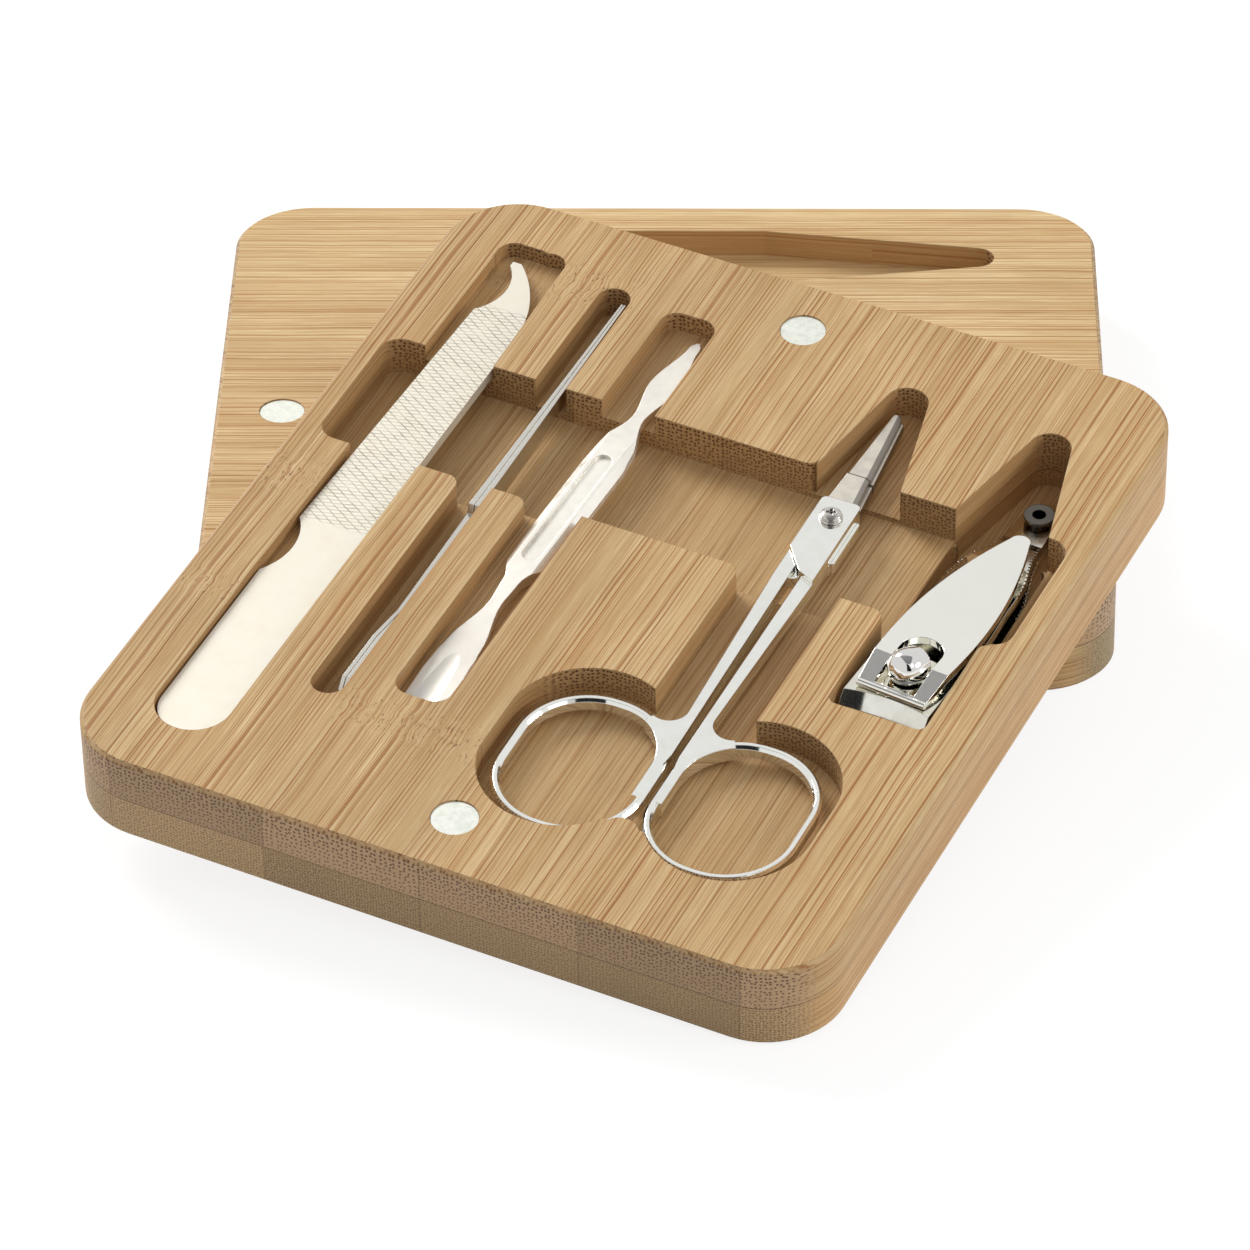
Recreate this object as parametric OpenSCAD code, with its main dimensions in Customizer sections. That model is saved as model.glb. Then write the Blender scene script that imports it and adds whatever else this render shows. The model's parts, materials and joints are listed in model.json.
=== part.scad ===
// Manicure set in a two-part bamboo case, laid open for display.
// The lid board lies flat with its inner face up. The base board, which holds
// the tools, leans on the lid's near edge and stands on one bottom corner.

/* [Boards] */
// Length of each board, along its grain
board_l = 120; // [116:1:130]
// Width of each board, across its grain
board_w = 104; // [103:1:112]
// Thickness of each board, made of two equal plies
board_t = 12.5; // [12:0.5:15]
// Radius of a board's corners, seen from above
corner_r = 10.5; // [7:0.5:13]
// Width of the eased outer edges
edge_ease = 0.5; // [0.3:0.1:1]

/* [Display pose] */
// Turn of the base board on the table, in degrees
base_turn = 24.85; // [20:0.05:30]
// Distance along the table from the base's standing corner to the lid
lean_run = 76.3; // [70:0.1:84]
// Sideways place of the base's middle, from the lid's middle
base_x = -2.3; // [-6:0.1:4]

/* [Magnets] */
// Diameter of a magnet
magnet_d = 6; // [5:0.5:7]
// Thickness of a magnet
magnet_t = 2; // [1.5:0.5:3]
// Distance from a board's short edge to a magnet's middle
magnet_inset = 9; // [7:0.5:11]
// How far a magnet lies below the board's face
magnet_sink = 0.15; // [0.1:0.05:0.5]
// Distance of the lid's magnets from its middle line, towards the base
lid_magnet_off = 3; // [0:0.1:3.5]

/* [Finger channel] */
// Width of the channel across the tools
channel_w = 21.6; // [18:0.2:24]
// Depth of the channel
channel_depth = 5.6; // [5.2:0.1:6]
// Distance of the channel's middle from the base's middle
channel_y = 16.3; // [14:0.1:17]
// Wood left between the channel's ends and the base's long edges
channel_wall = 3; // [2:0.1:4]

/* [Fits] */
// Gap beside a tool in its pocket
pocket_gap = 0.35; // [0.25:0.05:0.5]
// Gap between a resting piece and its seat
seat_gap = 0.1; // [0.06:0.02:0.2]
// Running clearance round a pivot, on the radius
run_gap = 0.05; // [0.03:0.01:0.08]
// Gap between faces that slide on each other
slide_gap = 0.06; // [0.04:0.01:0.1]

/* [Nail file] */
// Length of the file
file_l = 99.3; // [94:0.1:102]
// Width of the file
file_w = 9.4; // [8.6:0.1:9.8]
// Thickness of the file
file_t = 1.5; // [1:0.1:2]
// Distance from the base's left edge to the file's middle line
file_inset = 13.2; // [12.7:0.1:14]
// How far the file's left side runs in from the notch to the tip
file_taper = 2.1; // [1.6:0.1:2.4]
// Radius of the bite that forms the hooked tip
hook_bite_r = 7.3; // [6.8:0.1:8]
// Depth of the side notch in the file
file_notch = 1.9; // [1:0.1:2.5]

/* [Tweezers] */
// Length of the tweezers
tweezer_l = 81.6; // [76:0.1:84]
// Height of an arm, as it stands on edge in its slot
arm_h = 3.4; // [2.8:0.1:3.8]
// Thickness of an arm at its grip
arm_t = 0.8; // [0.6:0.05:1]
// Width of the tweezer slot
tweezer_slot_w = 4.5; // [4.2:0.1:5]
// Distance from the file's middle line to the slot's middle line
tweezer_step = 13.4; // [12.9:0.1:14]

/* [Cuticle pusher] */
// Length of the pusher
pusher_l = 77.4; // [74:0.1:80]
// Width of its handle
pusher_w = 5.8; // [5:0.1:6.2]
// Thickness of its handle
pusher_t = 1.8; // [1.5:0.1:2.2]
// Distance from the tweezer slot's middle to the pusher slot's middle
pusher_step = 11.3; // [10.8:0.1:12]

/* [Scissors] */
// Distance from the screw to the blades' tips
blade_l = 22.9; // [21:0.1:24]
// Distance from the screw to the middle of the finger rings
handle_l = 53.6; // [52:0.1:54.2]
// Width of the flat block round the screw
block_w = 5.4; // [5:0.1:6]
// Thickness of each half at the block
half_t = 1.65; // [1.5:0.05:1.8]
// Outer width of a finger ring
ring_w = 20; // [19.4:0.1:20.4]
// Outer length of a finger ring
ring_l = 24.8; // [24:0.1:25.6]
// Width of the ring's strip, seen from above
ring_t = 1.2; // [1:0.1:1.5]
// Height of the ring's strip and of the shanks
ring_h = 2.1; // [1.8:0.1:2.4]
// Width of a shank
shank_w = 1.3; // [1.1:0.1:1.6]
// Diameter of the screw's shaft
screw_d = 1.8; // [1.4:0.1:2.2]
// Diameter of the screw's head
screw_head_d = 3.1; // [2.8:0.1:3.6]

/* [Nail clipper] */
// Distance from the post to the cutting edges
jaw_l = 9.2; // [8.8:0.1:9.4]
// Distance from the post to the tail end
tail_l = 41.8; // [39:0.1:42.5]
// Width of the jaws
jaw_w = 11.8; // [11:0.1:12]
// Thickness of a leaf
leaf_t = 1.5; // [1.3:0.05:1.6]
// Opening between the cutting edges
jaw_gap = 1.6; // [1.2:0.1:1.8]
// Diameter of the post's shaft
post_d = 3.2; // [2.8:0.1:3.6]
// Diameter of the post's leaning head
post_head_d = 5.2; // [4.8:0.1:5.4]
// Length of the lever
lever_l = 36.2; // [35:0.1:37]
// Widest width of the lever
lever_w = 10.8; // [10.2:0.1:11]
// Thickness of the lever
lever_t = 1.2; // [1:0.05:1.4]
// Depth of the lid's recess over the post and lever
lid_recess_depth = 4; // [3.2:0.1:5]
// Outer diameter of the tail's eyelet
eyelet_d = 4; // [3.4:0.1:4.2]
// Distance from the base's right edge to the clipper's middle line
clipper_inset = 12.8; // [12.4:0.1:13.4]

/* [Hidden] */
$fn = 64;

bamboo = "burlywood";
bamboo_dark = "tan";
plated = "gainsboro";
matte_steel = "lightgray";
dark_steel = "slategray";

// Overshoot of cutting shapes past the faces that they cut
over = 1;
ply_t = board_t / 2;
half_w = board_w / 2;
half_l = board_l / 2;
// Lean of the base, from the lid's thickness and the run along the table
lean_gap = 0.1;
base_tilt = atan((board_t + lean_gap) / (lean_run + edge_ease));
// Distance from the base's middle to the corner that it stands on
corner_reach = (half_w - corner_r) * sin(base_turn)
    + (half_l - corner_r) * cos(base_turn) + corner_r - edge_ease;

// Middle lines of the tools, across the base
file_x = file_inset - half_w;
tweezer_x = file_x + tweezer_step;
pusher_x = tweezer_x + pusher_step;
clipper_x = half_w - clipper_inset;
scissors_x = clipper_x - 20.8;

// Pocket depths, from each tool's thickness and how deep it lies
file_sink = 0.8;
file_depth = file_t + file_sink + seat_gap;
arm_sink = 1.1;
tweezer_depth = arm_h + arm_sink + seat_gap;
pusher_sink = 1.1;
pusher_depth = pusher_t + pusher_sink + seat_gap;
scissors_sink = 1;
scissors_depth = 2 * half_t + slide_gap + scissors_sink + seat_gap;
blade_extra_depth = 0.4;
clipper_depth = 9;
clipper_floor = board_t - clipper_depth;

// Places along the base of the middles or pivots of the tools
file_y = -1.4;
tweezer_y = 6;
pusher_y = 6.4;
// Middle of the finger rings; the scissors grow from there towards their tips
rings_y = -33.8;
screw_y = rings_y + handle_l;
post_y = -2.8;

// Small turns of the tools as they lie in their pockets
pusher_turn = -1.3;
scissors_turn = 0.8;
clipper_turn = -1.9;
lever_swing = -2.5;

// Point where a line from p touches the circle (c, r), on side s
function touch(p, c, r, s) =
    let (d = c - p, far = norm(d), a = atan2(d.y, d.x) + s * asin(r / far), t = sqrt(far * far - r * r))
    p + t * [cos(a), sin(a)];

// Smooth step from 0 to 1
function ease(t) = t * t * (3 - 2 * t);

// Outline points through stations [place, half width], eased between them
function eased(stations, steps = 6) = [
    for (i = [0 : len(stations) - 2], k = [0 : steps - 1])
        let (t = k / steps, a = stations[i], b = stations[i + 1])
        [a.x + (b.x - a.x) * t, a.y + (b.y - a.y) * ease(t)],
    stations[len(stations) - 1]];

// Closed outline, symmetric about the Y axis, from [place, half width] points
function both_sides(points) = concat(
    [for (p = points) [p.y, p.x]],
    [for (i = [len(points) - 1 : -1 : 0]) [-points[i].y, points[i].x]]);

// Frames of the base and of each tool
module in_base()
    translate([base_x, -half_w - lean_run, 0]) rotate([base_tilt, 0, 0])
        translate([0, corner_reach, 0]) rotate([0, 0, -base_turn]) children();

module at_tool(x, y, floor_z, turn = 0)
    in_base() translate([x, y, floor_z + seat_gap]) rotate([0, 0, turn]) children();

// Extrudes a side view, drawn as [along, height], across the width w
module side_view(points, w)
    translate([-w / 2, 0, 0]) rotate([90, 0, 90]) linear_extrude(w) polygon(points);

// One corner of a ply, with its outer edge eased at the face side
module ply_corner()
    rotate_extrude() polygon([[0, 0], [corner_r, 0], [corner_r, ply_t - edge_ease],
        [corner_r - edge_ease, ply_t], [0, ply_t]]);

// Straight stretch of a ply between corners, with its two long edges eased
module ply_bar(along, across)
    rotate([90, 0, 90]) translate([0, 0, -along / 2]) linear_extrude(along)
        polygon([[-across / 2, 0], [across / 2, 0], [across / 2, ply_t - edge_ease],
            [across / 2 - edge_ease, ply_t], [edge_ease - across / 2, ply_t],
            [-across / 2, ply_t - edge_ease]]);

// Ply of size x by y, with its glued face at z = 0 and its eased face up
module ply(x, y) {
    for (sx = [-1, 1], sy = [-1, 1])
        translate([sx * (x / 2 - corner_r), sy * (y / 2 - corner_r), 0]) ply_corner();
    ply_bar(x - 2 * corner_r, y);
    rotate([0, 0, 90]) ply_bar(y - 2 * corner_r, x);
}

module magnet() cylinder(d = magnet_d, h = magnet_t);

// Bore for a magnet, down from the board's face at z = 0
module magnet_bore()
    translate([0, 0, -magnet_t - magnet_sink])
        cylinder(d = magnet_d + 2 * run_gap, h = magnet_t + magnet_sink + over);

// Rectangle with round corners
module round_box(x0, x1, y0, y1, r) {
    translate([x0 + r, y0]) square([x1 - x0 - 2 * r, y1 - y0]);
    translate([x0, y0 + r]) square([x1 - x0, y1 - y0 - 2 * r]);
    for (x = [x0 + r, x1 - r], y = [y0 + r, y1 - r]) translate([x, y]) circle(r);
}

// Tapered stretch from y0 to a round end, with sides that run just inside the end circle
module taper_to(x0, x1, y0, end, r) {
    inner = 0.992 * r;
    polygon([[x0, y0], touch([x0, y0], end, inner, 1), end, touch([x1, y0], end, inner, -1), [x1, y0]]);
    translate(end) circle(r);
}

// Cuts a shape down from the board's face at z = 0
module cut_down(depth) translate([0, 0, -depth]) linear_extrude(depth + over) children();

channel_near = channel_y - channel_w / 2;
channel_far = channel_y + channel_w / 2;
block_round = 1.7;

// Rounds a pocket's corner at the channel; sx and sy point into the wood
module eased_corner(x, y, sx, sy, r)
    translate([x, y]) difference() {
        translate([sx > 0 ? 0 : -r, sy > 0 ? 0 : -r]) square(r);
        translate([sx * r, sy * r]) circle(r);
    }

module channel_cut() {
    channel_r = 2.8;
    cut_down(channel_depth)
        round_box(channel_wall - half_w, half_w - channel_wall, channel_near, channel_far, channel_r);
}

// Slot of the file: round near end, and a narrower far end round the hook
file_slot_w = file_w + 2 * pocket_gap;
module file_cut() {
    near_y = file_y - file_l / 2 - pocket_gap;
    far_y = file_y + file_l / 2 + 2.9;
    far_r = 2.2;
    far_lead = 0.45;
    cut_down(file_depth) translate([file_x, 0]) {
        translate([0, near_y + file_slot_w / 2]) circle(file_slot_w / 2);
        translate([-file_slot_w / 2, near_y + file_slot_w / 2])
            square([file_slot_w, channel_far - near_y - file_slot_w / 2]);
        taper_to(-file_slot_w / 2, file_slot_w / 2, channel_far - over,
            [file_slot_w / 2 - far_lead - far_r, far_y - far_r], far_r);
        round_box(-file_slot_w / 2, file_slot_w / 2 - far_lead - far_r, channel_y, far_y, far_r);
    }
}

module tweezer_cut() {
    far_y = tweezer_y + tweezer_l / 2 + 1.5;
    near_y = tweezer_y - tweezer_l / 2 - 3.2;
    end_r = tweezer_slot_w / 2;
    cut_down(tweezer_depth) translate([tweezer_x, 0]) {
        for (y = [near_y + end_r, far_y - end_r]) translate([0, y]) circle(end_r);
        translate([-end_r, near_y + end_r]) square([tweezer_slot_w, far_y - near_y - tweezer_slot_w]);
        eased_corner(-end_r, channel_near, -1, -1, block_round);
    }
}

pusher_slot_w = pusher_w + 1.9;
module pusher_cut()
    cut_down(pusher_depth) translate([pusher_x, 0]) {
        round_box(-pusher_slot_w / 2, pusher_slot_w / 2, pusher_y - pusher_l / 2 - 1.4,
            pusher_y + pusher_l / 2 + 2.2, 2.4);
        eased_corner(-pusher_slot_w / 2, channel_near, -1, -1, block_round);
    }

// Pocket of the scissors: two lobes for the rings, a neck and the blade slot
lobe_r = ring_w / 2 + 0.8;
lobe_x = ring_w / 2 + 1.45;
// How far the lobes' middles lie from the rings' middles, towards the blades
lobe_shift = 0.6;
module scissors_cut() {
    lobe_y = rings_y + lobe_shift;
    lobe_half = ring_l / 2 + 2.1;
    neck_w = 14;
    // Hump of wood between the lobes, with a round top
    bridge_y = lobe_y - 10.2;
    hump_r = 2.6;
    mid_x = scissors_x + 0.9;
    cut_down(scissors_depth) {
        for (s = [-1, 1]) translate([mid_x + s * lobe_x, lobe_y]) {
            for (y = [lobe_r - lobe_half, lobe_half - lobe_r]) translate([0, y]) circle(lobe_r);
            translate([-lobe_r, lobe_r - lobe_half]) square([2 * lobe_r, 2 * (lobe_half - lobe_r)]);
        }
        difference() {
            translate([mid_x - lobe_x, bridge_y]) square([2 * lobe_x, lobe_y - bridge_y]);
            translate([mid_x, bridge_y + 1.2 - hump_r]) circle(hump_r);
        }
        translate([mid_x - neck_w / 2, lobe_y - 1]) square([neck_w, channel_y - lobe_y + 1]);
        eased_corner(mid_x - neck_w / 2, channel_near, -1, -1, block_round);
    }
    mouth_x = scissors_x - 5.8;
    cut_down(scissors_depth + blade_extra_depth) {
        taper_to(mouth_x, scissors_x + 6.7, channel_far - over,
            [scissors_x, screw_y + blade_l + 0.8], 2.9);
        eased_corner(mouth_x + 0.2, channel_far, -1, 1, 1.5);
    }
}

// Pocket of the clipper, deeper than the rest
clipper_pocket_w = jaw_w + 1.4;
module clipper_cut() {
    side = clipper_pocket_w / 2;
    cut_down(clipper_depth) translate([clipper_x, 0]) {
        round_box(-side, side, post_y - jaw_l - pocket_gap - 0.2, channel_far - 0.4, 1.2);
        taper_to(-side, side, channel_far - 0.5, [-0.3, post_y + tail_l + 4.2], 2.8);
    }
    cut_down(channel_depth) translate([clipper_x, 0]) {
        eased_corner(-side, channel_near, -1, -1, block_round);
        eased_corner(side, channel_near, 1, -1, block_round);
    }
}

// Teardrop recess in the lid, over the clipper's post and lever
lid_recess_y = clipper_x - 1.1;
module lid_recess() {
    side = clipper_pocket_w / 2 + 0.5;
    tip_r = 2.6;
    taper_x = 14;
    translate([0, 0, board_t]) cut_down(lid_recess_depth) translate([0, lid_recess_y]) rotate(-90) {
        round_box(-side, side, post_y - jaw_l - 0.8, taper_x, 2.5);
        taper_to(-side, side, taper_x - 0.1, [0, post_y + tail_l + 4.3], tip_r);
    }
}

// The lid board, flat on the table
module lid_upper_ply() color(bamboo)
    difference() {
        translate([0, 0, ply_t]) ply(board_l, board_w);
        lid_recess();
        for (s = [-1, 1]) translate([s * (half_l - magnet_inset), -lid_magnet_off, board_t]) magnet_bore();
    }

module lid_lower_ply() color(bamboo_dark)
    translate([0, 0, ply_t]) mirror([0, 0, 1]) ply(board_l, board_w);

module lid_magnet(s) color(plated)
    translate([s * (half_l - magnet_inset), -lid_magnet_off, board_t - magnet_sink - magnet_t]) magnet();
module lid_magnet_left() lid_magnet(-1);
module lid_magnet_right() lid_magnet(1);

// The base board, with a pocket for each tool
module base_upper_ply() color(bamboo)
    in_base() difference() {
        translate([0, 0, ply_t]) ply(board_w, board_l);
        translate([0, 0, board_t]) {
            channel_cut();
            file_cut();
            tweezer_cut();
            pusher_cut();
            scissors_cut();
            clipper_cut();
            for (s = [-1, 1]) translate([0, s * (half_l - magnet_inset), 0]) magnet_bore();
        }
    }

module base_lower_ply() color(bamboo_dark)
    in_base() difference() {
        translate([0, 0, ply_t]) mirror([0, 0, 1]) ply(board_w, board_l);
        translate([0, 0, board_t]) clipper_cut();
    }

module base_magnet(s) color(plated)
    in_base() translate([0, s * (half_l - magnet_inset), board_t - magnet_sink - magnet_t]) magnet();
module base_magnet_near() base_magnet(-1);
module base_magnet_far() base_magnet(1);

// Nail file: round near end, a side notch, and a hooked tip
module nail_file() color(matte_steel)
    at_tool(file_x, file_y, board_t - file_depth) {
        side = file_w / 2;
        tip_y = file_l / 2;
        // The left side runs in from here to the tip
        taper_y = -8;
        // Arc along the hook's outer side, tangent to the right side
        outer_r = 20.1;
        outer_y = tip_y - 14.4;
        // Width left between the bite's deepest point and the middle line
        hook_in = 0.8;
        bite_y = tip_y - 5.7;
        notch_half = 5.5;
        notch_r = (notch_half * notch_half + file_notch * file_notch) / (2 * file_notch);
        notch_y = -13.3;
        linear_extrude(file_t) difference() {
            intersection() {
                union() {
                    translate([0, side - tip_y]) circle(side);
                    polygon([[-side, side - tip_y], [side, side - tip_y], [side, tip_y],
                        [file_taper - side, tip_y], [-side, taper_y]]);
                }
                union() {
                    translate([side - outer_r, outer_y]) circle(outer_r);
                    translate([-side - over, -tip_y - over])
                        square([file_w + 2 * over, outer_y + tip_y + over]);
                }
            }
            translate([-hook_in - hook_bite_r, bite_y]) circle(hook_bite_r);
            translate([-side - notch_r + file_notch, notch_y]) circle(notch_r);
        }
    }

// Tweezers, closed and lying on edge. An arm is drawn from its side and cut
// to its thickness, thin at the tip and at the springy waist
arm_gap = slide_gap;
module tweezer_arm(s) {
    tail = -tweezer_l / 2;
    tip = tweezer_l / 2;
    waist = tail + 17;
    shoulder = waist + 20.5;
    waist_h = arm_h * 0.62;
    intersection() {
        side_view([[tail + 1.6, 0], [tail + 0.3, arm_h * 0.3], [tail + 0.3, arm_h * 0.6],
            [tail + 1.6, arm_h], [waist - 7, arm_h], [waist, waist_h], [shoulder - 0.6, waist_h],
            [shoulder, arm_h], [tip, arm_h], [tip, arm_h * 0.75], [shoulder + 16, arm_h * 0.06],
            [shoulder, 0]], 4 * arm_t);
        linear_extrude(arm_h) polygon([for (p = [[tail, 0], [tip, 0], [tip, 0.3],
            [shoulder + 16, arm_t * 0.8], [shoulder, arm_t], [waist + 2, arm_t * 0.7], [tail, arm_t * 0.7]])
            [s * (arm_gap / 2 + p.y), p.x]]);
    }
}

tweezer_shift = 1.1;
module tweezer_arm_left() color(matte_steel)
    at_tool(tweezer_x + tweezer_shift, tweezer_y, board_t - tweezer_depth) tweezer_arm(-1);
module tweezer_arm_right() color(matte_steel)
    at_tool(tweezer_x + tweezer_shift, tweezer_y, board_t - tweezer_depth) tweezer_arm(1);

// Cuticle pusher: spear end, waist, grooved handle, waist, hollowed spade end
module cuticle_pusher() color(matte_steel)
    at_tool(pusher_x + 0.8, pusher_y, board_t - pusher_depth, pusher_turn) {
        end = pusher_l / 2;
        grip = pusher_w / 2;
        neck = 0.85;
        // Spade and waist at the near end, spear and waist at the far end
        near_neck = 20;
        near_grip = 29;
        far_neck = 17.6;
        far_grip = 28;
        plan = eased([[-end, grip * 0.8], [0.6 - end, grip * 0.95], [8 - end, grip], [11 - end, grip * 0.85],
            [near_neck - end, neck], [near_neck + 4 - end, neck * 1.3], [near_grip - end, grip * 0.95],
            [near_grip + 6 - end, grip], [end - far_grip, grip], [end - far_grip + 3, grip * 0.9],
            [end - far_neck, neck], [end - 10, grip * 0.72], [end - 1, 0.7], [end, 0.25]]);
        side = [[-end, 0], [end, 0], [end, 0.6], [end - 16, 1.2], [end - 24, pusher_t], [27 - end, pusher_t],
            [18 - end, 1.3], [8 - end, 1.1], [-end, 0.6]];
        // Cross-section with long bevels along both upper edges
        bevel_low = pusher_t * 0.5;
        section = [[-grip, 0], [grip, 0], [grip, bevel_low], [grip * 0.62, pusher_t],
            [-grip * 0.62, pusher_t], [-grip, bevel_low]];
        groove_w = pusher_w * 0.44;
        groove_near = near_grip - 0.5 - end;
        groove_far = end - far_grip + 1.5;
        groove_depth = 0.4;
        // Shallow hollow along the spade
        spoon_r = 5;
        spoon_fall = 5.2;
        difference() {
            intersection() {
                linear_extrude(pusher_t) polygon(both_sides(plan));
                side_view(side, 2 * pusher_w);
                rotate([90, 0, 0]) linear_extrude(2 * pusher_l, center = true) polygon(section);
            }
            translate([0, 0, pusher_t - groove_depth]) linear_extrude(over)
                round_box(-groove_w / 2, groove_w / 2, groove_near, groove_far, groove_w / 2 - 0.01);
            translate([0, 9 - end, 1.1 + spoon_r]) rotate([90 + spoon_fall, 0, 0])
                cylinder(r = spoon_r, h = 20);
        }
    }

// Scissors. Local origin on the screw's axis; blades towards +Y
mid_z = half_t + slide_gap / 2;
// Inner side of a shank, where it leaves the block and where it meets its ring
shank_in = 0.8;
shank_low = 0.5;
// Middle of a finger ring, and the radius of its outer corners
ring_gap = 0.4;
ring_x = ring_w / 2 + ring_gap;
ring_bend = 9.6;
// Slanted step between a half's block and the other half's shank
step_far = -6.8;
step_near = -10.8;
step_gap = 0.2;
function step_y(x) = step_far - (block_w / 2 - x) * (step_far - step_near) / (block_w / 2 + 0.25);

// Cross-section of a ring's strip, with eased edges, about its middle
module strip_section() {
    x = ring_t / 2;
    z = ring_h / 2;
    ease_x = 0.35;
    ease_z = 0.4;
    polygon([[-x, ease_z - z], [ease_x - x, -z], [x - ease_x, -z], [x, ease_z - z], [x, z - ease_z],
        [x - ease_x, z], [ease_x - x, z], [-x, z - ease_z]]);
}

// Bent strip of a finger ring, with its middle at the origin
module finger_ring() {
    bend_r = ring_bend - ring_t / 2;
    dx = ring_w / 2 - ring_bend;
    dy = ring_l / 2 - ring_bend;
    for (q = [0 : 3]) {
        sx = q == 0 || q == 3 ? 1 : -1;
        sy = q < 2 ? 1 : -1;
        translate([sx * dx, sy * dy, 0]) rotate([0, 0, 90 * q])
            rotate_extrude(angle = 90) translate([bend_r, 0]) strip_section();
    }
    for (s = [-1, 1]) {
        translate([s * (dx + bend_r), dy, 0]) rotate([90, 0, 0]) linear_extrude(2 * dy) strip_section();
        translate([-dx, s * (dy + bend_r), 0]) rotate([90, 0, 90]) linear_extrude(2 * dx) strip_section();
    }
}

// Shank and ring of one half, drawn for the right-hand side
module handle() {
    side = block_w / 2;
    // Middle of the ring's corner next to the shank
    corner = [ring_gap + ring_bend, ring_l / 2 - ring_bend - handle_l];
    // Fillet between the shank and the ring's corner
    fillet_r = 2.6;
    fillet_x = shank_low + shank_w + fillet_r;
    fillet_y = corner.y + sqrt(pow(ring_bend + fillet_r, 2) - pow(corner.x - fillet_x, 2));
    // The ring's strip is wider beside the other ring
    wide_t = ring_t + 0.45;
    strip_in = ring_gap + 0.5;
    foot_y = -handle_l - ring_l / 2 + ring_bend;
    translate([ring_x, -handle_l, mid_z]) finger_ring();
    // Where the fillet runs into the ring
    meet = [fillet_x, fillet_y]
        + (fillet_r + ring_t / 2) / (ring_bend + fillet_r) * (corner - [fillet_x, fillet_y]);
    translate([0, 0, mid_z - ring_h / 2]) difference() {
        linear_extrude(ring_h) polygon([[shank_in, step_y(shank_in) - step_gap],
            [side, step_far - step_gap], [side, step_near - 1], [shank_low + shank_w, fillet_y],
            [fillet_x, fillet_y], meet, corner,
            [strip_in + ring_t + 1, foot_y], [strip_in, foot_y], [strip_in, corner.y],
            [shank_low, corner.y + 3]]);
        translate([fillet_x, fillet_y, -over]) cylinder(r = fillet_r, h = ring_h + 2 * over);
        translate([ring_x, -handle_l, -over]) linear_extrude(ring_h + 2 * over)
            round_box(wide_t - ring_w / 2, ring_w / 2 - ring_t, ring_t - ring_l / 2,
                ring_l / 2 - ring_t, ring_bend - ring_t);
    }
}

// Flat block of one half round the screw, with the shank's slanted step
module block() {
    side = block_w / 2;
    front = 3.7;
    polygon([[-side, step_far], [0.25, step_near], [side, step_near - 1.2], [side, 0], [-side, 0]]);
    round_box(-side, side, -side, front, 0.8);
}

// Cuts a bevel that falls to the right of a line through p at the height z
module bevel_cut(p, z, run) {
    lean = 5;
    fall = 35;
    side = block_w + 0.6;
    translate([p.x, p.y, z]) rotate([0, 0, lean]) rotate([0, fall, 0]) cube([side, run, side]);
}

blade_step = 9.4;
// Where a blade's root starts inside the block, and its sides there and at the step
root_y = 3;
root_left = 2.2;
root_right = 1.9;
step_left = 1.8;
step_right = 1.3;
module scissors_lower_half() color(plated)
    at_tool(scissors_x, screw_y, board_t - scissors_depth, scissors_turn) difference() {
        // Lip that stands out beside the upper half's block
        lip_out = 0.45;
        lip_near = -6.4;
        lip_far = 2.2;
        union() {
            mirror([1, 0, 0]) handle();
            linear_extrude(half_t) mirror([1, 0, 0]) block();
            linear_extrude(half_t) round_box(0, block_w / 2 + lip_out, lip_near, lip_far, 0.4);
            translate([0, 0, 0.35]) linear_extrude(half_t - 0.35)
                polygon([[0.5 - root_left, root_y], [root_right + 0.4, root_y],
                    [step_right + 0.4, blade_step], [0.5, blade_l - 0.6], [-0.6, blade_l - 0.6],
                    [0.4 - step_left, blade_step]]);
        }
        translate([0, 0, -over]) cylinder(d = screw_d, h = half_t + 2 * over);
    }

module scissors_upper_half() color(plated)
    at_tool(scissors_x, screw_y, board_t - scissors_depth, scissors_turn) difference() {
        root_t = half_t * 0.75;
        blade_t = half_t * 0.5;
        base_z = half_t + slide_gap;
        union() {
            handle();
            translate([0, 0, base_z]) {
                linear_extrude(half_t) block();
                linear_extrude(root_t)
                    polygon([[-root_left, root_y], [root_right, root_y], [step_right, blade_step],
                        [-step_left, blade_step]]);
                linear_extrude(blade_t)
                    polygon([[-step_left, blade_step - 0.1], [step_right, blade_step - 0.1],
                        [0.2, blade_l - 0.6],
                        [-0.3, blade_l], [-1, blade_l - 0.2]]);
            }
        }
        translate([0, 0, half_t]) cylinder(r = screw_d / 2 + run_gap, h = half_t + 2 * over);
        bevel_cut([1.25, root_y + 0.8], base_z + root_t, blade_step - root_y - 0.8);
        bevel_cut([0.7, blade_step + 0.1], base_z + blade_t, blade_l);
    }

// Screw with a round head on a wider rim, and a short cross slot
module scissors_screw() color(dark_steel)
    at_tool(scissors_x, screw_y, board_t - scissors_depth, scissors_turn) {
        head_z = 2 * half_t + slide_gap * 2;
        rim_r = screw_head_d / 2;
        rim_h = 0.4;
        head_r = rim_r * 0.86;
        head_h = 1;
        slot_w = 0.42;
        difference() {
            rotate_extrude() polygon([[0, 0.1], [screw_d / 2, 0.1], [screw_d / 2, head_z],
                [rim_r, head_z], [rim_r, head_z + rim_h * 0.6], [rim_r * 0.94, head_z + rim_h],
                [head_r, head_z + rim_h], [head_r, head_z + head_h * 0.7],
                [head_r * 0.8, head_z + head_h * 0.9], [head_r * 0.45, head_z + head_h], [0, head_z + head_h]]);
            for (a = [20, 110]) translate([0, 0, head_z + head_h]) rotate([0, 0, a])
                cube([head_r, slot_w, head_h], center = true);
        }
    }

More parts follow.
